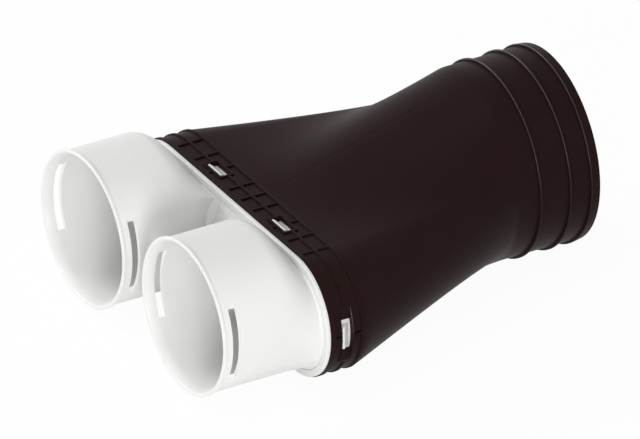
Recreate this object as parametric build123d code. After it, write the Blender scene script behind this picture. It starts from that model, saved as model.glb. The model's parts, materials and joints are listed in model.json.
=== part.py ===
"""Flexible duct adapter: two round collars on one plate, snapped into a body that ends in a round spigot.

Millimetres. X runs along the flat side, Y from the collar mouths to the spigot's end, and Z is up.
The model is worked out with the collar axes at z = 0 and their mouths at y = 0, then set down with its
origin at the bottom centre of its box.
"""
import os
from math import atan2, cos, hypot, pi, sin

from build123d import *

# Collars for the two flexible ducts
duct_bore = 75.8          # inside diameter of a collar
collar_wall = 2.1
collar_pitch = 99.5       # between the two collar axes
collar_length = 36.5      # straight tube, from the mouth to the flared base
lip_height = 1.0
lip_width = 1.8
lead_in_width = 1.2       # widening of the bore at the mouth
lead_in_depth = 3.3
slot_start = 5.5          # clip slots, measured from the mouth
slot_width = 4.4
slot_reach = 7.0          # depth of the straight cut, from the outside of the tube
base_length = 19.5        # flared base between the tube and the plate
base_wall_shift = 1.5     # the inside of a base runs this far ahead, so that its steep end keeps its wall
base_inset = 4.9          # base outline inside the plate's edge
base_inner_edge = 15.4    # straight inner edge of a base, from the middle
collar_match = 4.0        # level below the collar axis from which base and tube are matched

# Plate and plug
plate_thickness = 2.0
plate_setback = 0.5       # plate edge inside the rib crests of the body
plate_edge = 0.7          # rounding of the plate's front edge
plug_wall = 1.8
plug_clearance = 0.3
plug_end_gap = 1.5        # plug end to the start of the body's taper
web_fold = 10.2           # fold lines in the web between the bases, from the middle
web_top_drop = 12.8       # height of the web's sloping part
web_reach = 10.6          # how far the web stands out at its middle
web_fold_reach = 6.2      # and at its folds
web_side_reach = 6.5      # and at the bases
web_wall = 2.0

# Oblong end of the body
skirt_half_flat = 63.2    # half length of the straight sides
skirt_radius = 31.8       # outside of the wall, below the ribs
skirt_drop = 8.0          # skirt axis below the collar axes
body_wall = 2.0
rib_height = 0.8
rim_width = 3.0
row_a_width = 6.5
row_b_width = 6.6
rib_width = 1.4           # ribs that run round the skirt
cross_rib_width = 1.1
cross_rib_places = (0.0, 11.9, 46.3, 61.6)
band_width = 2.1          # plain band before the taper

# Snap windows
window_place = 31.5       # window centres on the straight sides
window_width = 14.4
end_window_width = 17.6
recess_width = 29.0       # recess round an end window
recess_depth = 0.8        # below the outside of the wall
window_length = 5.9       # along the duct axis
window_shift = 0.9        # middle of the windows in front of the middle rib
frame_width = 1.1
hook_width = 12.3         # the hooks end level with the rib crests
hook_front_gap = 0.3
hook_length = 4.6
hook_flat = 0.9

# Taper and spigot
taper_length = 114.0
taper_match = 11.0        # level above the skirt axis from which skirt and spigot are matched
spigot_diameter = 99.6
spigot_rise = 14.6        # spigot axis above the skirt axis
spigot_length = 44.4
ring_count = 2
ring_height = 1.4         # fins and end band reach the same crest
ring_width = 1.4
first_ring = 10.1         # from the end of the taper
ring_spacing = 16.9
end_band_width = 5.4
end_band_taper = 0.8
spigot_edge = 0.6         # chamfer inside the spigot's end

# Places that follow from the sizes
collar_x = collar_pitch / 2
bore_r = duct_bore / 2
collar_r = bore_r + collar_wall
plate_y = collar_length + base_length
skirt_y = plate_y + plate_thickness
row_a_y = skirt_y + rim_width
rib_1_y = row_a_y + row_a_width
row_b_y = rib_1_y + rib_width
rib_2_y = row_b_y + row_b_width
band_y = rib_2_y + rib_width
taper_y = band_y + band_width
spigot_y = taper_y + taper_length
end_y = spigot_y + spigot_length
crest_r = skirt_radius + rib_height
plate_r = crest_r - plate_setback
base_r = plate_r - base_inset
skirt_bore_r = skirt_radius - body_wall
plug_r = skirt_bore_r - plug_clearance
plug_bore_r = plug_r - plug_wall
plug_y = taper_y - plug_end_gap
skirt_z = -skirt_drop
spigot_z = skirt_z + spigot_rise
spigot_r = spigot_diameter / 2
spigot_bore_r = spigot_r - body_wall
window_y = rib_1_y + rib_width / 2 - window_shift - window_length / 2
window_back = window_y + window_length

# How the solids are made
spare = 1.0               # overlap that lets one solid cut or join another cleanly
taper_pieces = 8          # pieces of each edge of the skirt in the taper
shoulder_pieces = 4       # pieces of each edge of a base in its bend
shoulder_rows = 4         # stretches of a base's bend between its sections


def spot(x, y, z):
    return Vector(x, y, z)


def oblong(radius, y):
    """Edges of an oblong round the skirt axis, in the order top, far end, bottom, near end."""
    a, top, low = skirt_half_flat, skirt_z + radius, skirt_z - radius
    return [
        Edge.make_line(spot(a, y, top), spot(-a, y, top)),
        Edge.make_three_point_arc(spot(-a, y, top), spot(-a - radius, y, skirt_z), spot(-a, y, low)),
        Edge.make_line(spot(-a, y, low), spot(a, y, low)),
        Edge.make_three_point_arc(spot(a, y, low), spot(a + radius, y, skirt_z), spot(a, y, top)),
    ]


def half_oblong(radius, inner, y):
    """Edges of a collar base: half an oblong, closed by a straight edge near the middle."""
    a, top, low = skirt_half_flat, skirt_z + radius, skirt_z - radius
    return [
        Edge.make_line(spot(a, y, top), spot(inner, y, top)),
        Edge.make_line(spot(inner, y, top), spot(inner, y, low)),
        Edge.make_line(spot(inner, y, low), spot(a, y, low)),
        Edge.make_three_point_arc(spot(a, y, low), spot(a + radius, y, skirt_z), spot(a, y, top)),
    ]


def prism(edges, length):
    return extrude(Face(Wire(edges)), amount=length, dir=(0, 1, 0))


def tube_block(radius, x, z, y, length):
    """A round bar along Y."""
    end = Plane(origin=(x, y, z), x_dir=(1, 0, 0), z_dir=(0, 1, 0))
    return extrude(end * Circle(radius), amount=length)


def block(x0, x1, y0, y1, z0, z1):
    return Pos((x0 + x1) / 2, (y0 + y1) / 2, (z0 + z1) / 2) * Box(x1 - x0, y1 - y0, z1 - z0)


def matched_edges(edges, eye_x, eye_z, radius, x, z, y, pieces):
    """An outline in pieces, and the arcs of a circle that lie in the same directions from an eye point."""
    def on_circle(angle):
        return spot(x + radius * cos(angle), y, z + radius * sin(angle))

    outline, ring = [], []
    for edge in edges:
        for k in range(pieces):
            part = edge.trim(k / pieces, (k + 1) / pieces)
            start, finish = part.position_at(0), part.position_at(1)
            t0 = atan2(start.Z - eye_z, start.X - eye_x)
            t1 = atan2(finish.Z - eye_z, finish.X - eye_x)
            if t1 - t0 > pi:
                t1 -= 2 * pi
            if t0 - t1 > pi:
                t1 += 2 * pi
            outline.append(part)
            ring.append(Edge.make_three_point_arc(on_circle(t0), on_circle((t0 + t1) / 2), on_circle(t1)))
    return outline, ring


def straight_loft(edges, eye_x, eye_z, radius, x, z, y):
    """Ruled loft from an outline to a circle."""
    outline, ring = matched_edges(edges, eye_x, eye_z, radius, x, z, y, taper_pieces)
    return Solid.make_loft([Wire(outline), Wire(ring)], ruled=True)


def shoulder_loft(edges, eye_x, eye_z, radius, x, z, y):
    """Loft that leaves a circle along its axis and bends to an outline, as a parabola does."""
    outline, ring = matched_edges(edges, eye_x, eye_z, radius, x, z, y, shoulder_pieces)

    def between(rim, arc, along):
        points = []
        for t in (0, 0.5, 1):
            a, b = arc.position_at(t), rim.position_at(t)
            points.append(spot(a.X + (b.X - a.X) * along ** 2, a.Y + (b.Y - a.Y) * along,
                               a.Z + (b.Z - a.Z) * along ** 2))
        return Edge.make_three_point_arc(*points)

    rows = [Wire([between(rim, arc, k / shoulder_rows) for rim, arc in zip(outline, ring)])
            for k in range(1, shoulder_rows)]
    return Solid.make_loft([Wire(ring), *rows, Wire(outline)])


# Body: ribbed skirt, taper and spigot
def body_solid(skirt_r, round_r):
    """Skirt, taper and spigot as one solid of the given radii."""
    skirt = prism(oblong(skirt_r, skirt_y), taper_y - skirt_y)
    taper = straight_loft(oblong(skirt_r, taper_y), 0, skirt_z + taper_match,
                          round_r, 0, spigot_z, spigot_y)
    spigot = tube_block(round_r, 0, spigot_z, spigot_y, spigot_length)
    return skirt + taper + spigot


def skirt_ribs():
    """Raised rim, ribs, cross ribs and window frames on the outside of the skirt."""
    layer = prism(oblong(crest_r, skirt_y), band_y - skirt_y)
    layer -= prism(oblong(skirt_radius, skirt_y), band_y - skirt_y)
    wide = skirt_half_flat + crest_r + spare
    high = crest_r + spare
    low, top = skirt_z - high, skirt_z + high
    bars = [
        block(-wide, wide, skirt_y, row_a_y, low, top),
        block(-wide, wide, rib_1_y, row_b_y, low, top),
        block(-wide, wide, rib_2_y, band_y, low, top),
    ]
    half = cross_rib_width / 2
    frame_front, frame_back = window_y - frame_width, window_back + frame_width
    for place in cross_rib_places:
        for x in {place, -place}:
            bars.append(block(x - half, x + half, skirt_y, band_y, low, top))
    reach = window_width / 2 + frame_width
    for x in (window_place, -window_place):
        bars.append(block(x - reach, x + reach, frame_front, frame_back, low, top))
        bars.append(block(x - half, x + half, skirt_y, band_y, low, top))
    reach = recess_width / 2 + frame_width
    for side in (1, -1):
        x0, x1 = sorted((side * skirt_half_flat, side * wide))
        bars.append(block(x0, x1, window_y, frame_back, skirt_z - reach, skirt_z + reach))
        bars.append(block(x0, x1, skirt_y, band_y, skirt_z - half, skirt_z + half))
    return layer & Compound(bars[0].fuse(*bars[1:]).solids())


def skirt_windows():
    """Cutters for the snap windows: two on each straight side, and one in a recess at each end."""
    out, inside = crest_r + spare, plug_bore_r
    cutters = []
    for x in (window_place, -window_place):
        x0, x1 = x - window_width / 2, x + window_width / 2
        cutters.append(block(x0, x1, window_y, window_back, skirt_z + inside, skirt_z + out))
        cutters.append(block(x0, x1, window_y, window_back, skirt_z - out, skirt_z - inside))
    layer = prism(oblong(out, window_y), window_length)
    layer -= prism(oblong(skirt_radius - recess_depth, window_y), window_length)
    for side in (1, -1):
        x0, x1 = sorted((side * (skirt_half_flat + plug_bore_r / 2), side * (skirt_half_flat + out)))
        opening, recess = [block(x0, x1, window_y, window_back, skirt_z - width / 2, skirt_z + width / 2)
                           for width in (end_window_width, recess_width)]
        cutters += [opening, layer & recess]
    return cutters


def spigot_rings():
    """Two fins and the tapered end band on the spigot."""
    rings = []
    for k in range(ring_count):
        y = spigot_y + first_ring + k * ring_spacing
        rings.append(tube_block(spigot_r + ring_height, 0, spigot_z, y, ring_width))
    crest = spigot_r + ring_height
    profile = Polyline((0, end_y - end_band_width), (crest, end_y - end_band_width),
                       (crest - end_band_taper, end_y), (0, end_y), close=True)
    rings.append(Pos(0, 0, spigot_z) * revolve(make_face(profile), axis=Axis.Y))
    return rings


def spigot_mouth():
    """Chamfer cutter at the inner edge of the spigot's end."""
    profile = Polyline((0, end_y - spigot_edge), (spigot_bore_r, end_y - spigot_edge),
                       (spigot_bore_r + spigot_edge, end_y), (spigot_bore_r + spigot_edge, end_y + spare),
                       (0, end_y + spare), close=True)
    return Pos(0, 0, spigot_z) * revolve(make_face(profile), axis=Axis.Y)


def transition_body():
    inner = body_solid(skirt_bore_r, spigot_bore_r)
    inner += prism(oblong(skirt_bore_r, skirt_y - spare), spare)
    inner += tube_block(spigot_bore_r, 0, spigot_z, end_y, spare)
    outer = body_solid(skirt_radius, spigot_r)
    outer = outer.fuse(skirt_ribs(), *spigot_rings())
    return outer.cut(inner, spigot_mouth(), *skirt_windows())


# Plate: two collars with flared bases, the web between them, and the plug with its hooks
def collar_outside():
    tube = tube_block(collar_r, collar_x, 0, 0, collar_length)
    lip = tube_block(collar_r + lip_height, collar_x, 0, 0, lip_width)
    base = shoulder_loft(half_oblong(base_r, base_inner_edge, plate_y), collar_x, -collar_match,
                         collar_r, collar_x, 0, collar_length)
    return tube + lip + base


def collar_inside():
    bore_end, port_y = collar_length - base_wall_shift, plate_y - base_wall_shift
    outline = half_oblong(base_r - collar_wall, base_inner_edge + collar_wall, port_y)
    base = shoulder_loft(outline, collar_x, -collar_match, bore_r, collar_x, 0, bore_end)
    port = prism(outline, skirt_y - port_y + spare)
    bore = tube_block(bore_r, collar_x, 0, -spare, bore_end + spare)
    profile = Polyline((0, -spare), (bore_r + lead_in_width, -spare), (bore_r + lead_in_width, 0),
                       (bore_r, lead_in_depth), (0, lead_in_depth), close=True)
    mouth = Pos(collar_x, 0, 0) * revolve(make_face(profile), axis=Axis.Y)
    return bore + base + port + mouth


def clip_slots():
    """Straight cuts through both sides of a collar."""
    near, far = collar_r - slot_reach, collar_r + lip_height + spare
    y0, y1 = slot_start, slot_start + slot_width
    return [block(collar_x + near, collar_x + far, y0, y1, -far, far),
            block(collar_x - far, collar_x - near, y0, y1, -far, far)]


def web(shift, back):
    """Folded web between the two bases; shift moves its front face along Y."""
    def section(z, side, fold, middle):
        e, f = base_inner_edge + collar_wall / 2, web_fold
        front = [(-e, side), (-f, fold), (0, middle), (f, fold), (e, side)]
        points = [spot(x, plate_y + shift - reach, z) for x, reach in front]
        return Wire.make_polygon(points + [spot(e, back, z), spot(-e, back, z)])

    top, low = skirt_z + base_r, skirt_z - base_r
    flat = (0, 0, 0)
    deep = (web_side_reach, web_fold_reach, web_reach)
    return Solid.make_loft([section(top, *flat), section(top - web_top_drop, *deep),
                            section(low + web_top_drop, *deep), section(low, *flat)], ruled=True)


def hooks():
    """Snap hooks on the plug: steep at the front, sloping towards the body."""
    root = plug_r - plug_wall / 2
    points = [(0, root), (0, crest_r), (hook_flat, crest_r), (hook_length, plug_r), (hook_length, root)]
    profile = Face(Wire.make_polygon([spot(0, y, height) for y, height in points]))
    bar = extrude(profile, amount=hook_width, dir=(1, 0, 0))
    bar = Pos(-hook_width / 2, window_y + hook_front_gap, 0) * bar
    made = []
    for x in (window_place, -window_place):
        up = Pos(x, 0, skirt_z) * bar
        made += [up, up.mirror(Plane.XY.offset(skirt_z))]
    sideways = Pos(skirt_half_flat, 0, skirt_z) * Rot(0, 90, 0) * bar
    made += [sideways, sideways.mirror(Plane.YZ)]
    return made


def twin_collar_plate():
    inside = collar_inside()
    cutters = [inside, *clip_slots()]
    cutters += [c.mirror(Plane.YZ) for c in cutters]
    collar = collar_outside()
    plate = prism(oblong(plate_r, plate_y), plate_thickness)
    plate = fillet(plate.faces().sort_by(Axis.Y)[0].edges(), plate_edge)
    hollow = web(web_wall, skirt_y + spare)
    plug_depth = plug_y - skirt_y
    plug = prism(oblong(plug_r, skirt_y), plug_depth) - prism(oblong(plug_bore_r, skirt_y), plug_depth)
    joined = plate.fuse(web(0, skirt_y), plug, *hooks())
    return joined.cut(hollow).fuse(collar, collar.mirror(Plane.YZ)).cut(*cutters)


os.makedirs("parts", exist_ok=True)
nodes = {"transition_body": transition_body(), "twin_collar_plate": twin_collar_plate()}
lowest = spigot_z - spigot_r - ring_height
seat = Pos(0, -end_y / 2, -lowest)
for name, shape in nodes.items():
    placed = seat * shape
    print(name, "solids", len(placed.solids()), "valid", placed.is_valid, "volume", round(placed.volume, 1),
          placed.bounding_box())
    export_step(placed, f"parts/{name}.step")
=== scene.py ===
"""Looks of the flexible duct adapter: a dark body and a white plate with two collars, in a white studio.

The meshes are worked out in millimetres with the collar axes at z = 0 and the collar mouths at y = 0,
as the solids are, and are then seated in the frame, in metres.
"""
import json
from itertools import pairwise
from math import asin, atan2, ceil, cos, inf, pi, radians, sin, sqrt

import bmesh
import bpy
from mathutils import Matrix, Vector


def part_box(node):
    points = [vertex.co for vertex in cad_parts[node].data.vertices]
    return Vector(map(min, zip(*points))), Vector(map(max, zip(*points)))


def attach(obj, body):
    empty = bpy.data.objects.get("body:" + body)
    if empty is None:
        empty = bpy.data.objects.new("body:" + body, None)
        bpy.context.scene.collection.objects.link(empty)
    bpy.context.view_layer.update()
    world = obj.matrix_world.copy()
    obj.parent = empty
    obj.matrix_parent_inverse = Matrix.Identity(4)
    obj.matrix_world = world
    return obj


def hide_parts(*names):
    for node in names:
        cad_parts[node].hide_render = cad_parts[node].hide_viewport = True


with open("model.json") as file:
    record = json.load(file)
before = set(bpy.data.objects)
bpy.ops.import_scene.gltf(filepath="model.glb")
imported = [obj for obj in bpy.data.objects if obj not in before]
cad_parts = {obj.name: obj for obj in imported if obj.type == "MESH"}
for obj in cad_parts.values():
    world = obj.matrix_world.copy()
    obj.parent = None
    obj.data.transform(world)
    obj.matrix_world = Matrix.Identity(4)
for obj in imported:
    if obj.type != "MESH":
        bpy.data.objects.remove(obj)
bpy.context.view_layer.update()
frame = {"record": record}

MM = 0.001
mounts = {m["name"]: m for m in frame["record"]["mounts"]}
collar_seat = Vector(mounts["collar_near"]["pos_m"])
seat = Vector((0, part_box("twin_collar_plate")[0].y, collar_seat.z))

# Collars
collar_x = collar_seat.x / MM
bore_r = mounts["collar_near"]["dims"]["r_mm"]
collar_wall = 2.1
collar_r = bore_r + collar_wall
collar_length = 36.5
lip_height, lip_width = 1.0, 1.8
lip_round = 0.55
lead_in_width, lead_in_depth = 1.2, 3.3
slot_start, slot_end = 5.5, 9.9
slot_reach = 7.0                     # depth of a clip slot, from the outside of the tube
slot_plane = collar_r - slot_reach   # its straight end, from the collar axis
base_length = 19.5
base_wall_shift = 1.5                # the inside of a base runs this far ahead of its outside
base_inset = 4.9
base_inner_edge = 15.4
base_bury = 1.0                      # how far a base runs into the plate
base_eye_z = -4.0                    # level from which a base's outline and the tube are matched
base_pieces = (24, 20, 20, 36)       # columns on a base's top, inner edge, bottom and round end
flare_steps = 10
fillet_r, fillet_steps = 0.8, 4      # hollow rounding between a base and the plate
crease_width, crease_depth = 0.6, 0.6    # fine groove in the plate, beside that rounding

# Plate, plug and web
plate_y = collar_length + base_length
plate_thickness = 2.0
plate_setback = 0.5                  # plate edge inside the rib crests of the body
plate_edge = 0.7                     # rounding of the plate's front edge
plug_wall, plug_clearance = 1.8, 0.3
plug_end_gap = 1.5                   # plug end to the start of the body's taper
web_fold = 10.2
web_top_drop = 12.8
web_reach, web_fold_reach = 10.6, 6.2
web_root_reach = 14.0                # at the web's sides, inside the bases
web_sides = ((15.0, 11.0), (13.8, 9.0), (12.6, 7.5), (11.4, 6.6))    # hollow sides: place and reach
web_wall = 2.0
groove_half, groove_depth = 0.45, 0.7    # line along each fold of the web

# Skirt
skirt_half_flat = 63.2
skirt_radius = 31.8
skirt_z = -8.0
body_wall = 2.0
rib_height, rib_width = 0.8, 1.4
rim_width, row_a_width, row_b_width, band_width = 3.0, 6.5, 6.6, 2.1
crest_r = skirt_radius + rib_height
skirt_bore_r = skirt_radius - body_wall
skirt_y = plate_y + plate_thickness
row_a_y = skirt_y + rim_width
rib_1_y = row_a_y + row_a_width
row_b_y = rib_1_y + rib_width
rib_2_y = row_b_y + row_b_width
band_y = rib_2_y + rib_width
taper_y = band_y + band_width
cross_rib_half = 0.55
cross_rib_places = (0.0, 11.9, 46.3, 61.6)
pocket_draft, pocket_depth = 0.1, 0.8
gutter_width, gutter_depth = 0.7, 1.0    # narrow gutter beside each cross rib, on the floor of a pocket
plate_r = crest_r - plate_setback
base_r = plate_r - base_inset
crease_r = base_r + fillet_r
plug_r = skirt_bore_r - plug_clearance
plug_bore_r = plug_r - plug_wall
plug_y = taper_y - plug_end_gap

# Snap windows and hooks
window_place, window_half = 31.5, 7.2
end_window_half = 8.8
recess_half = 14.5
recess_flat = skirt_half_flat + sqrt(crest_r ** 2 - recess_half ** 2)    # its flat floor, from x = 0
recess_round = 0.4                   # rounding of its back edge
window_length = 5.9
window_shift = 0.9                   # middle of the windows in front of the middle rib
frame_width = 1.1
window_y = (rib_1_y + row_b_y - window_length) / 2 - window_shift
window_back = window_y + window_length
frame_front, frame_back = window_y - frame_width, window_back + frame_width
hook_half = 6.15
hook_front_gap = 0.3
hook_length, hook_flat = 4.6, 0.9

# Taper and spigot
spigot_z = (mounts["spigot"]["pos_m"][2] - seat.z) / MM
fin_r = mounts["spigot"]["dims"]["r_mm"]
spigot_r = 49.8
spigot_bore_r = spigot_r - body_wall
taper_length = 114.0
taper_match = 11.0                   # level above the skirt axis from which skirt and spigot are matched
taper_steps = 28
spigot_y = taper_y + taper_length
end_y = (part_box("transition_body")[1].y - seat.y) / MM
body_eye_z = skirt_z + taper_match
fin_places = (10.1, 27.0)            # fronts of the fins, from the end of the taper
fin_width = 1.4
fin_round, fin_crest_depth = 0.4, 0.6       # rounding of a fin's edges, and the depth of its crest, which is rounded and takes a glossy coat that stands in for a highlight
end_band_width, end_band_taper = 5.4, 0.8
spigot_edge = 0.6
seam_depth = 0.2                     # parting line of the mould along the taper

# Mesh steps and tolerances
column_step = radians(4.0)           # widest turn between two columns of the body
edge_round = 0.2
round_steps = 4                      # segments of the larger roundings
sharp_turn, hook_turn = 40, 20       # edges that turn by more degrees are rounded
smooth_turn = 38                     # edges that turn by fewer degrees are shaded smooth
near = 1e-3                          # points this close lie on one plane
slack = 0.1                          # how far a point may lie off an edge and still belong to it
weld = 5e-4                          # points this close become one
cut_reach = 1e-5                     # a cut takes points this close to its plane as on it
tiny = 1e-9                          # below this a ray runs along a wall

# Finishes and studio
white_tones = (0.785, 0.785, 0.77, 1), (0.815, 0.815, 0.80, 1)
dark_tones = (0.0145, 0.006, 0.006, 1), (0.0178, 0.0078, 0.0078, 1)
# glossy coat on the upper edges of the fins and of the end recesses: a painted highlight, put where the
# lamps catch these edges
fin_highlight_coat, highlight_coat_roughness = 0.7, 0.32
fin_highlight_fade = -0.02, 0.03               # heights above the spigot axis, in metres, where that highlight coat sets in, so that only the upper edges shine: painted highlight
floor_half = 4
floor_tone, floor_roughness = (0.94, 0.94, 0.94, 1), 0.9
floor_glow = 0.955                   # share of white light in the floor that the camera sees
ambient = 0.38                       # even light on the object
lamp_aim = Vector((0, 0, 0.05))
lamps = {                            # place, size and power
    "key": ((1.25, -0.75, 0.28), 0.5, 10.5),
    "left": ((-1.0, -0.65, 0.6), 0.5, 8),
    "top": ((0.1, -0.35, 1.45), 0.8, 5),
}


# Rings of vertices
def verts_in(geometry):
    """The vertices among what an operator has made."""
    return [g for g in geometry if isinstance(g, bmesh.types.BMVert)]


def ring_edges(bm, ring):
    """Edges between the neighbours of a ring."""
    return [bm.edges.get(pair) for pair in zip(ring, ring[1:] + ring[:1])]


def start_ring(bm, points):
    """Make a closed ring through the given points."""
    ring = bmesh.ops.create_circle(bm, segments=len(points), radius=1)["verts"]
    for vert, point in zip(ring, points):
        vert.co = point
    return ring


def grow(bm, ring, points):
    """Extrude a ring and set its new vertices on the given points."""
    made = bmesh.ops.extrude_edge_only(bm, edges=ring_edges(bm, ring))["geom"]
    fresh = set(verts_in(made))
    new = [next(e.other_vert(v) for e in v.link_edges if e.other_vert(v) in fresh) for v in ring]
    for vert, point in zip(new, points):
        vert.co = point
    return new


def closed_shell(bm, rings):
    """Skin a row of rings and close it back to the first one."""
    ring = start_ring(bm, rings[0])
    for points in [*rings[1:], rings[0]]:
        ring = grow(bm, ring, points)
    bmesh.ops.remove_doubles(bm, verts=bm.verts, dist=weld)


# Choosing and rounding
def faces_where(faces, test):
    """Faces with their middle where a test holds."""
    return [f for f in faces if test(f.calc_center_median())]


def edges_where(edges, test):
    """Edges with both ends where a test holds."""
    return [e for e in edges if all(test(v.co) for v in e.verts)]


def sharp_edges(bm, least=sharp_turn):
    """Edges that turn by more than some degrees."""
    return [e for e in bm.edges if e.is_manifold and e.calc_face_angle() > radians(least)]


def round_edges(bm, edges, size, segments=2):
    """Round some edges by a size in millimetres."""
    bmesh.ops.bevel(bm, geom=edges, offset=size, affect="EDGES", segments=segments, profile=0.5,
                    material=-1, clamp_overlap=False)


# Oblong outline: each stop is a centre on the axis line and an angle
def spread(marks, turn=lambda mark: mark):
    """Fill the gaps between marks so that no step turns by more than the widest column."""
    filled = []
    for a, b in pairwise(marks):
        count = max(1, ceil(abs(turn(b) - turn(a)) / column_step))
        filled += [a + (b - a) * k / count for k in range(count)]
    return filled


def body_stops():
    """Stops round the skirt, with columns on every rib, frame and window edge."""

    def turn_at(z):
        return lambda x: atan2(z - body_eye_z, x)

    ribs = [(place, cross_rib_half) for place in (*cross_rib_places, window_place)]
    window_frame = (window_place, window_half + frame_width)
    spans = [*ribs, window_frame, (window_place, window_half)]
    spans += [(place, half + gutter_width) for place, half in (*ribs, window_frame)]
    edges = [place + s * half for place, half in spans for s in (-1, 1)]
    half_side = sorted({0.0, *(x for x in edges if 0 < x < skirt_half_flat), skirt_half_flat})
    side = [-x for x in reversed(half_side)] + half_side[1:]
    halves = (cross_rib_half, cross_rib_half + gutter_width, end_window_half,
              recess_half, recess_half + frame_width)
    turns = [asin(half / crest_r) for half in halves]
    end = sorted([-pi / 2, pi / 2, 0.0, *turns, *(-t for t in turns)])
    found = [(x, pi / 2) for x in spread(side[::-1], turn_at(skirt_z + skirt_radius))]
    found += [(-skirt_half_flat, pi + t) for t in spread([-t for t in end[::-1]])]
    found += [(x, 3 * pi / 2) for x in spread(side, turn_at(skirt_z - skirt_radius))]
    found += [(skirt_half_flat, t) for t in spread(end)]
    return found


stops = body_stops()


def oblong(radius, y):
    """Ring round the skirt's axis line."""
    return [Vector((x + radius * cos(t), y, skirt_z + radius * sin(t))) for x, t in stops]


# Directions of the stops, seen from the eye point inside the taper
spigot_turns = [atan2(p.z - body_eye_z, p.x) for p in oblong(skirt_radius, 0)]


def circle(radius, y):
    """Ring round the spigot's axis."""
    return [Vector((radius * cos(t), y, spigot_z + radius * sin(t))) for t in spigot_turns]


def taper(skirt_r, round_r, share):
    """Section of the taper, at a share of its length."""
    y = taper_y + share * taper_length
    return [a.lerp(b, share) for a, b in zip(oblong(skirt_r, y), circle(round_r, y))]


def skirt_distance(point):
    """Distance of a point from the skirt's axis line."""
    return Vector((max(0, abs(point.x) - skirt_half_flat), point.z - skirt_z)).length


# Dark transition body
def seam(points):
    """Sink the middle columns of the top and bottom a little, as the mould's parting line."""
    for point, (x, t) in zip(points, stops):
        if x == 0:
            point.z -= seam_depth * sin(t)
    return points


def body_rings():
    """Rings of the body: the outside from the skirt to the spigot's end, then the inside back."""
    rows = (skirt_y, row_a_y, frame_front, window_y, rib_1_y,
            row_b_y, window_back, frame_back, rib_2_y, band_y)
    rings = [oblong(skirt_bore_r, skirt_y)]
    rings += [oblong(crest_r, y) for y in rows]
    rings += [oblong(skirt_radius, band_y)]
    for k in range(taper_steps + 1):
        points = taper(skirt_radius, spigot_r, k / taper_steps)
        rings.append(seam(points) if 0 < k < taper_steps else points)
    for place in fin_places:
        front, back = spigot_y + place, spigot_y + place + fin_width
        corners = ((spigot_r, front), (fin_r, front), (fin_r, back), (spigot_r, back))
        rings += [circle(radius, y) for radius, y in corners]
    band = end_y - end_band_width
    rings += [circle(spigot_r, band), circle(fin_r, band), circle(fin_r - end_band_taper, end_y)]
    rings += [circle(spigot_bore_r + spigot_edge, end_y), circle(spigot_bore_r, end_y - spigot_edge)]
    rings += [taper(skirt_bore_r, spigot_bore_r, 1 - k / taper_steps) for k in range(taper_steps + 1)]
    rings += [oblong(skirt_bore_r, y) for y in (window_back, row_b_y, rib_1_y, window_y)]
    return rings


def at_crest(point):
    """Whether a point lies on the skirt's outside, at the level of the rib crests."""
    return skirt_y < point.y < band_y and skirt_distance(point) > skirt_radius


def in_window(point, margin=0):
    """Whether a point on the skirt lies in a window, or in the frame round it."""
    x, height = abs(point.x), abs(point.z - skirt_z)
    if x > skirt_half_flat:
        return window_y < point.y < window_back and height < end_window_half
    along = window_y - margin < point.y < window_back + margin
    return along and abs(x - window_place) < window_half + margin


def in_recess(point, margin=0):
    """Whether a point on the skirt lies in the recess round an end window, or in the frame round it."""
    x, height = abs(point.x), abs(point.z - skirt_z)
    along = window_y < point.y < window_back + margin
    return along and x > skirt_half_flat and height < recess_half + margin


def on_rib(point):
    """Whether a point on the skirt lies on a rib, a cross rib or a frame."""
    x, height = abs(point.x), abs(point.z - skirt_z)
    rows = ((skirt_y, row_a_y), (rib_1_y, row_b_y), (rib_2_y, band_y))
    if any(a < point.y < b for a, b in rows):
        return True
    if in_window(point, frame_width) or in_recess(point, frame_width):
        return True
    if x > skirt_half_flat:
        return height < cross_rib_half
    return any(abs(x - place) < cross_rib_half for place in (*cross_rib_places, window_place))


def in_gutter(point):
    """Whether a point on the floor of a pocket lies close beside a cross rib or a frame."""
    if abs(point.x) > skirt_half_flat:
        return abs(point.z - skirt_z) < cross_rib_half + gutter_width
    return any(on_rib(point + Vector((s * gutter_width, 0, 0))) for s in (-1, 1))


def on_fin_crest(point):
    """Whether a point lies on the crest of a fin or at the front of the end band."""
    out = Vector((point.x, point.z - spigot_z)).length
    return spigot_y < point.y < end_y - slack and out > fin_r - fin_crest_depth


def on_recess_back(point):
    """Whether a point lies on the back edge of an end recess, where that is deep enough to round."""
    deep = abs(point.x) > recess_flat + 2 * recess_round
    return deep and abs(point.y - window_back) < near and skirt_distance(point) > crest_r - slack


def open_windows(bm):
    """Cut the snap windows through the skirt and wall them."""
    walls = [f for f in bm.faces if abs(f.normal.y) < sqrt(0.5)]    # faces that look out or in
    bmesh.ops.delete(bm, geom=faces_where(walls, in_window), context="FACES")
    rims = {}
    for edge in bm.edges:
        if edge.is_boundary:
            middle = (edge.verts[0].co + edge.verts[1].co) / 2
            end = abs(middle.x) > skirt_half_flat
            rims.setdefault((middle.x > 0, None if end else middle.z > skirt_z), []).append(edge)
    for edges in rims.values():
        bmesh.ops.bridge_loops(bm, edges=edges)


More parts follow.
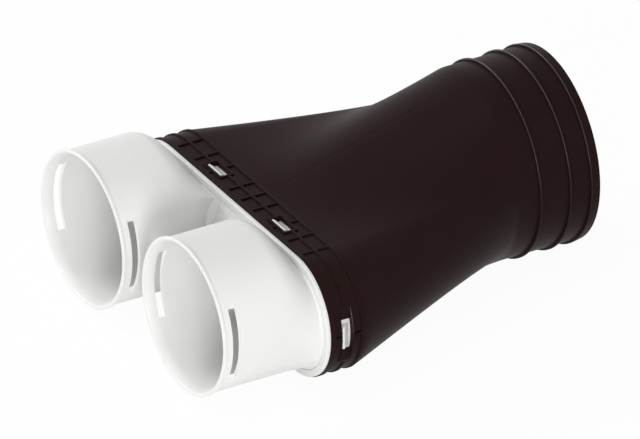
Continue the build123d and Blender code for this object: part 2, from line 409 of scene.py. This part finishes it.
def body_mesh():
    """The dark body: shell, pockets between the ribs, end recesses, windows and rounded edges."""
    bm = bmesh.new()
    closed_shell(bm, body_rings())
    bmesh.ops.recalc_face_normals(bm, faces=bm.faces)
    crests = faces_where(bm.faces, at_crest)
    pockets = faces_where(crests, lambda point: not on_rib(point))
    recesses = faces_where(crests, in_recess)
    gutters = faces_where(pockets, in_gutter)
    for faces, depth in ((pockets, pocket_depth), (gutters, gutter_depth), (recesses, 0)):
        bmesh.ops.inset_region(bm, faces=faces, thickness=pocket_draft, depth=-depth, use_boundary=True,
                               use_even_offset=True)
    for vert in {v for f in recesses for v in f.verts}:
        vert.co.x = max(-recess_flat, min(recess_flat, vert.co.x))
    open_windows(bm)
    bmesh.ops.recalc_face_normals(bm, faces=bm.faces)
    round_edges(bm, edges_where(sharp_edges(bm), on_fin_crest), fin_round, round_steps)
    round_edges(bm, edges_where(sharp_edges(bm), on_recess_back), recess_round, round_steps)
    rest = [e for e in sharp_edges(bm) if not any(on_fin_crest(v.co) for v in e.verts)]
    round_edges(bm, rest, edge_round)
    return bm


# White collar plate
def base_levels(radius):
    """Top and bottom of a base's outline, from its eye point."""
    return skirt_z + radius - base_eye_z, skirt_z - radius - base_eye_z


def base_turns(radius, inner):
    """Directions of a base's columns from its eye point: from corner to corner in even steps."""
    top, low = base_levels(radius)
    corners = [(skirt_half_flat, top), (inner, top), (inner, low), (skirt_half_flat, low)]
    marks = [atan2(z, x - collar_x) % (2 * pi) for x, z in corners]
    turns = []
    for (a, b), count in zip(pairwise([*marks, marks[0] + 2 * pi]), base_pieces):
        turns += [a + (b - a) * k / count for k in range(count)]
    return turns


def base_outline(radius, inner, y):
    """Half an oblong, closed by a straight inner edge, met by rays from the eye point."""
    top, low = base_levels(radius)
    back_x, back_z = collar_x - skirt_half_flat, base_eye_z - skirt_z
    points = []
    for turn in base_turns(radius, inner):
        c, s = cos(turn), sin(turn)
        walls = ((top, s), (low, s), (inner - collar_x, c))
        reach = min((far / part for far, part in walls if far * part > tiny), default=inf)
        if reach * c > skirt_half_flat - collar_x:
            along = back_x * c + back_z * s
            reach = -along + sqrt(along ** 2 - back_x ** 2 - back_z ** 2 + radius ** 2)
        points.append(Vector((collar_x + reach * c, y, base_eye_z + reach * s)))
    return points


tube_turns = base_turns(base_r, base_inner_edge)


def tube(radius, y):
    """Ring round a collar's axis."""
    return [Vector((collar_x + radius * cos(t), y, radius * sin(t))) for t in tube_turns]


def flare(radius, inner, round_r, start, along):
    """Section of a base, which leaves the tube along its axis and bends out as a parabola does."""
    y = start + along * base_length
    return [a.lerp(b, along ** 2) for a, b in zip(tube(round_r, y), base_outline(radius, inner, y))]


def collar_rings():
    """Rings of a collar and its base: the outside from the plate to the lip, then the inside back."""

    def outside(widening, along):
        return flare(base_r + widening, base_inner_edge - widening, collar_r, collar_length, along)

    steps = [k / flare_steps for k in range(flare_steps + 1)]
    inner_base = base_r - collar_wall, base_inner_edge + collar_wall
    buried = plate_y + base_bury
    rings = [base_outline(base_r + fillet_r, base_inner_edge - fillet_r, buried)]
    for k in range(fillet_steps + 1):
        turn = k / fillet_steps * pi / 2
        back = fillet_r * (1 - cos(turn))
        rings.append(outside(fillet_r * (1 - sin(turn)), 1 - back / base_length))
    bend = 1 - fillet_r / base_length
    rings += [outside(0, bend * k) for k in reversed(steps[:-1])]
    rings += [tube(collar_r, y) for y in (slot_end, slot_start, lip_width)]
    rings += [tube(collar_r + lip_height, y) for y in (lip_width, 0)]
    rings += [tube(bore_r + lead_in_width, 0), tube(bore_r, lead_in_depth)]
    rings += [tube(bore_r, y) for y in (slot_start, slot_end)]
    rings += [flare(*inner_base, bore_r, collar_length - base_wall_shift, k) for k in steps]
    rings += [base_outline(*inner_base, buried)]
    return rings


def cut_slot(bm, side):
    """Cut a clip slot straight through one side of a collar and wall it."""
    plane = collar_x + side * slot_plane

    def in_band(point):
        return slot_start < point.y < slot_end and (point.x - collar_x) * side > 0

    def in_slot(point):
        return in_band(point) and (point.x - plane) * side > 0

    band = faces_where(bm.faces, in_band)
    pieces = {*band, *(e for f in band for e in f.edges), *(v for f in band for v in f.verts)}
    bmesh.ops.bisect_plane(bm, geom=list(pieces), dist=cut_reach,
                           plane_co=(plane, 0, 0), plane_no=(1, 0, 0))
    bmesh.ops.delete(bm, geom=faces_where(bm.faces, in_slot), context="FACES")
    rim = [e for e in bm.edges if e.is_boundary]
    corners = {}
    for vert in {v for e in rim for v in e.verts if abs(v.co.x - plane) < near}:
        corners.setdefault((vert.co.y > (slot_start + slot_end) / 2, vert.co.z > 0), []).append(vert)
    rim += [bm.edges.new(pair) for pair in corners.values()]
    for level in (slot_start, slot_end):
        wall = edges_where(rim, lambda point: abs(point.y - level) < near)
        bmesh.ops.triangle_fill(bm, use_beauty=True, edges=wall)
    for up in (-1, 1):
        end = edges_where(rim, lambda point: abs(point.x - plane) < near and point.z * up > 0)
        bmesh.ops.contextual_create(bm, geom=end)


def collar_mesh():
    """One collar with its base, clip slots and rounded lip."""
    bm = bmesh.new()
    closed_shell(bm, collar_rings())
    for side in (1, -1):
        cut_slot(bm, side)
    bmesh.ops.recalc_face_normals(bm, faces=bm.faces)
    lip = edges_where(sharp_edges(bm), lambda point: point.y < lip_width + near)
    round_edges(bm, lip, lip_round, round_steps)
    return bm


def plate_mesh():
    """Plate edge and plug, as one oblong shell."""

    def on_front_edge(point):
        return abs(point.y - plate_y) < near and skirt_distance(point) > plate_r - slack

    bm = bmesh.new()
    inner = base_r - collar_wall
    profile = [
        (inner, plate_y), (crease_r, plate_y),
        (crease_r + crease_width / 2, plate_y + crease_depth), (crease_r + crease_width, plate_y),
        (plate_r, plate_y), (plate_r, skirt_y), (plug_r, skirt_y), (plug_r, plug_y),
        (plug_bore_r, plug_y), (plug_bore_r, skirt_y), (inner, skirt_y)]
    closed_shell(bm, [oblong(radius, y) for radius, y in profile])
    bmesh.ops.recalc_face_normals(bm, faces=bm.faces)
    round_edges(bm, edges_where(sharp_edges(bm), on_front_edge), plate_edge, round_steps)
    return bm


def web_mesh():
    """Folded web between the two bases."""
    bm = bmesh.new()
    top, low = skirt_z + base_r, skirt_z - base_r
    hollow = [(base_inner_edge + collar_wall / 2, web_root_reach), *web_sides]
    columns = [(-x, reach) for x, reach in hollow]
    for fold, reach in ((-web_fold, web_fold_reach), (0, web_reach), (web_fold, web_fold_reach)):
        columns += [(fold - groove_half, reach), (fold, reach - groove_depth), (fold + groove_half, reach)]
    columns += reversed(hollow)
    levels = [(low, 0), (low + web_top_drop, 1), (top - web_top_drop, 1), (top, 0)]
    made = bmesh.ops.create_grid(bm, size=1, x_segments=len(columns) - 1, y_segments=len(levels) - 1)
    grid = sorted(made["verts"], key=lambda v: (round(v.co.y, 3), round(v.co.x, 3)))
    for k, vert in enumerate(grid):
        (x, reach), (z, out) = columns[k % len(columns)], levels[k // len(columns)]
        vert.co = (x, plate_y - reach * out, z)
    bmesh.ops.solidify(bm, geom=bm.faces, thickness=web_wall)
    bmesh.ops.recalc_face_normals(bm, faces=bm.faces)
    return bm


def hook_mesh(place, turn):
    """Snap hook: steep at the front, sloping towards the body."""
    bm = bmesh.new()
    root = plug_r - plug_wall / 2
    profile = [(0, root), (0, crest_r), (hook_flat, crest_r), (hook_length, plug_r), (hook_length, root)]
    face = bm.faces.new([bm.verts.new((-hook_half, y, height)) for y, height in profile])
    made = bmesh.ops.extrude_face_region(bm, geom=[face])["geom"]
    bmesh.ops.translate(bm, vec=(2 * hook_half, 0, 0), verts=verts_in(made))
    bmesh.ops.recalc_face_normals(bm, faces=bm.faces)
    round_edges(bm, sharp_edges(bm, hook_turn), edge_round)
    bmesh.ops.rotate(bm, cent=(0, 0, 0), matrix=Matrix.Rotation(turn, 3, "Y"), verts=bm.verts)
    bmesh.ops.translate(bm, vec=(place, window_y + hook_front_gap, skirt_z), verts=bm.verts)
    return bm


def add_mesh(bm, part):
    """Add a finished bmesh to another one."""
    mesh = bpy.data.meshes.new("part")
    part.to_mesh(mesh)
    part.free()
    bm.from_mesh(mesh)
    bpy.data.meshes.remove(mesh)


def white_mesh():
    """The white plate: both collars, plate and plug, web and hooks."""
    bm = collar_mesh()
    bmesh.ops.mirror(bm, geom=[*bm.verts, *bm.edges, *bm.faces], axis="X", merge_dist=-1)
    hooks = [(x, turn) for x in (window_place, -window_place) for turn in (0, pi)]
    hooks += [(skirt_half_flat, pi / 2), (-skirt_half_flat, -pi / 2)]
    for part in (plate_mesh(), web_mesh(), *(hook_mesh(x, turn) for x, turn in hooks)):
        add_mesh(bm, part)
    bmesh.ops.recalc_face_normals(bm, faces=bm.faces)
    return bm


# Finishes
class Shade:
    """A socket of a node tree; arithmetic on it adds Math nodes."""

    def __init__(self, tree, socket):
        self.tree, self.socket = tree, socket

    @staticmethod
    def put(tree, socket, value):
        """Link a socket to a shade, or set it to a plain value."""
        if isinstance(value, Shade):
            tree.links.new(value.socket, socket)
        else:
            socket.default_value = value

    @staticmethod
    def node(tree, kind, settings=(), **sockets):
        """Add a node: its settings first, then the values or links of its sockets, by name or number."""
        made = tree.nodes.new(kind)
        for name, value in dict(settings).items():
            setattr(made, name, value)
        for name, value in sockets.items():
            key = int(name[1:]) if name[1:].isdigit() else name.replace("_", " ")
            Shade.put(tree, made.inputs[key], value)
        return made

    def math(self, operation, a, b):
        """Add a Math node for two values."""
        made = Shade.node(self.tree, "ShaderNodeMath", {"operation": operation}, _0=a, _1=b)
        return Shade(self.tree, made.outputs["Value"])

    def __add__(self, other):
        return self.math("ADD", self, other)

    def __radd__(self, other):
        return self.math("ADD", other, self)

    def __sub__(self, other):
        return self.math("SUBTRACT", self, other)

    def __rsub__(self, other):
        return self.math("SUBTRACT", other, self)

    def __mul__(self, other):
        return self.math("MULTIPLY", self, other)

    def __rmul__(self, other):
        return self.math("MULTIPLY", other, self)

    def above(self, level):
        return self.math("GREATER_THAN", self, level)

    def below(self, level):
        return self.math("LESS_THAN", self, level)

    def ramp(self, low, high):
        """Rise from 0 at one value to 1 at another."""
        made = Shade.node(self.tree, "ShaderNodeMapRange", Value=self, From_Min=low, From_Max=high)
        return Shade(self.tree, made.outputs["Result"])


class Finish:
    """A material with one Principled shader, and the patterns that feed it."""

    def __init__(self, name):
        self.material = bpy.data.materials.new(name)
        self.material.use_nodes = True
        self.tree = self.material.node_tree
        self.shader = self.tree.nodes["Principled BSDF"]
        self.place = self.out("ShaderNodeTexCoord", "Object")

    def out(self, kind, output, settings=(), **sockets):
        """Add a node and give one of its outputs."""
        return Shade(self.tree, Shade.node(self.tree, kind, settings, **sockets).outputs[output])

    def feed(self, **sockets):
        """Set or link sockets of the shader."""
        for name, value in sockets.items():
            Shade.put(self.tree, self.shader.inputs[name.replace("_", " ")], value)

    def axes(self):
        """The three coordinates of the surface, in metres."""
        split = Shade.node(self.tree, "ShaderNodeSeparateXYZ", Vector=self.place)
        return [Shade(self.tree, output) for output in split.outputs]

    def noise(self, size, detail=3.0):
        """Cloudy pattern with features of a size in millimetres."""
        return self.out("ShaderNodeTexNoise", "Fac",
                        Vector=self.place, Scale=1 / (size * MM), Detail=detail)

    def between(self, share, low, high):
        """Mix of two colours."""
        return self.out("ShaderNodeMix", 2, {"data_type": "RGBA"}, _0=share, _6=low, _7=high)

    def bump(self, height, depth):
        """Fine relief of a depth in millimetres."""
        return self.out("ShaderNodeBump", "Normal", Height=height, Distance=depth * MM, Strength=1.0)


def white_plastic():
    """White satin plastic with a fine grain."""
    finish = Finish("white_plastic")
    cloud, grain = finish.noise(size=22), finish.noise(size=0.7, detail=2)
    finish.feed(Base_Color=finish.between(cloud, *white_tones), Roughness=0.36 + 0.1 * grain, IOR=1.46,
                Normal=finish.bump(grain, depth=0.012))
    return finish.material


def dark_plastic():
    """Dark satin plastic, with a glossy coat on the upper parts of the fin edges and of the end recesses'
    back edges, as a painted highlight.
    """
    finish = Finish("dark_plastic")
    cloud, grain = finish.noise(size=18), finish.noise(size=0.6, detail=2)
    x, y, z = finish.axes()

    def edge_band(front, width):
        """A narrow band round the duct, on a rounded edge."""
        off = y - (seat.y + (front + width / 2) * MM)
        return (off * off).below((width * MM) ** 2)

    height = z - mounts["spigot"]["pos_m"][2]
    on_crest = (x * x + height * height).above(((fin_r - fin_crest_depth) * MM) ** 2)
    fronts = (*(spigot_y + place for place in fin_places), end_y - end_band_width)
    # painted highlight: coat on the fins' front edges, fading out below the spigot axis where the lamps
    # don't catch them
    fins = on_crest * sum(edge_band(front, fin_round) for front in fronts) * height.ramp(*fin_highlight_fade)
    rib_top = seat.z + (skirt_z + cross_rib_half + gutter_width) * MM
    # painted highlight: coat on the upper half of each end recess's back edge
    at_end = (x * x).above((recess_flat * MM) ** 2) * z.above(rib_top)
    highlight_coat = fin_highlight_coat * fins + at_end * edge_band(window_back + recess_round / 2, recess_round / 2)
    finish.feed(Base_Color=finish.between(cloud, *dark_tones), Roughness=0.40 + 0.12 * grain, IOR=1.12,
                Coat_Weight=highlight_coat, Coat_Roughness=highlight_coat_roughness,
                Normal=finish.bump(grain, depth=0.015))
    return finish.material


# Setting the pieces in the frame
def set_down(bm, name, node, material):
    """Seat a finished mesh in the frame, in place of one of the solids."""
    bmesh.ops.scale(bm, vec=(MM, MM, MM), verts=bm.verts)
    bmesh.ops.translate(bm, vec=seat, verts=bm.verts)
    mesh = bpy.data.meshes.new(name)
    bm.to_mesh(mesh)
    bm.free()
    mesh.shade_smooth()
    mesh.set_sharp_from_angle(angle=radians(smooth_turn))
    mesh.materials.append(material)
    piece = bpy.data.objects.new(name, mesh)
    bpy.context.scene.collection.objects.link(piece)
    weighted = piece.modifiers.new("even_faces", "WEIGHTED_NORMAL")
    weighted.keep_sharp = True
    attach(piece, "root")
    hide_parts(node)


set_down(body_mesh(), "body_shell", "transition_body", dark_plastic())
set_down(white_mesh(), "collar_plate", "twin_collar_plate", white_plastic())


# Studio
def seen_rays(tree):
    """Share of the rays that show a background: from the camera, or off or through a glossy surface."""
    rays = Shade.node(tree, "ShaderNodeLightPath")
    kinds = ("Camera", "Glossy", "Transmission")
    direct, glossy, through = (Shade(tree, rays.outputs[f"Is {kind} Ray"]) for kind in kinds)
    return 1 - (1 - direct) * (1 - glossy) * (1 - through)


def floor():
    """White ground that takes a faint shadow."""
    bm = bmesh.new()
    bmesh.ops.create_grid(bm, x_segments=1, y_segments=1, size=floor_half)
    mesh = bpy.data.meshes.new("floor")
    bm.to_mesh(mesh)
    bm.free()
    piece = bpy.data.objects.new("floor", mesh)
    bpy.context.scene.collection.objects.link(piece)
    finish = Finish("floor")
    finish.feed(Base_Color=floor_tone, Roughness=floor_roughness)
    ground = Shade(finish.tree, finish.shader.outputs["BSDF"])
    glow = finish.out("ShaderNodeEmission", "Emission", Strength=1.0)
    share = seen_rays(finish.tree) * floor_glow
    blend = finish.out("ShaderNodeMixShader", "Shader", _0=share, _1=ground, _2=glow)
    Shade.put(finish.tree, finish.tree.nodes["Material Output"].inputs["Surface"], blend)
    mesh.materials.append(finish.material)


def sky():
    """White to the camera, and a softer even light on the object."""
    world = bpy.data.worlds.new("studio")
    bpy.context.scene.world = world
    world.use_nodes = True
    tree = world.node_tree
    background = tree.nodes["Background"]
    background.inputs["Color"].default_value = (1, 1, 1, 1)
    Shade.put(tree, background.inputs["Strength"], ambient + (1 - ambient) * seen_rays(tree))


def softbox(name, place, size, power):
    """Round lamp that looks at the object."""
    light = bpy.data.lights.new(name, "AREA")
    light.shape, light.size, light.energy = "DISK", size, power
    lamp = bpy.data.objects.new(name, light)
    lamp.location = place
    lamp.rotation_euler = (lamp_aim - Vector(place)).to_track_quat("-Z", "Y").to_euler()
    bpy.context.scene.collection.objects.link(lamp)


def camera():
    """Parallel view from 60 degrees round and 30 degrees up."""
    azimuth, elevation = radians(60), radians(30)
    pixels_per_mm, frame_width_px = 2.027, 640
    aim = Vector((34.75, -32.0, 67.55)) * MM
    back = Vector((sin(azimuth) * cos(elevation), -cos(azimuth) * cos(elevation), sin(elevation)))
    data = bpy.data.cameras.new("camera")
    data.type = "ORTHO"
    data.ortho_scale = frame_width_px / pixels_per_mm * MM
    eye = bpy.data.objects.new("camera", data)
    eye.location = aim + back
    eye.rotation_euler = (-back).to_track_quat("-Z", "Y").to_euler()
    bpy.context.scene.collection.objects.link(eye)
    bpy.context.scene.camera = eye


floor()
sky()
for name, (place, size, power) in lamps.items():
    softbox(name, place, size, power)
camera()
bpy.context.scene.view_settings.view_transform = "Standard"
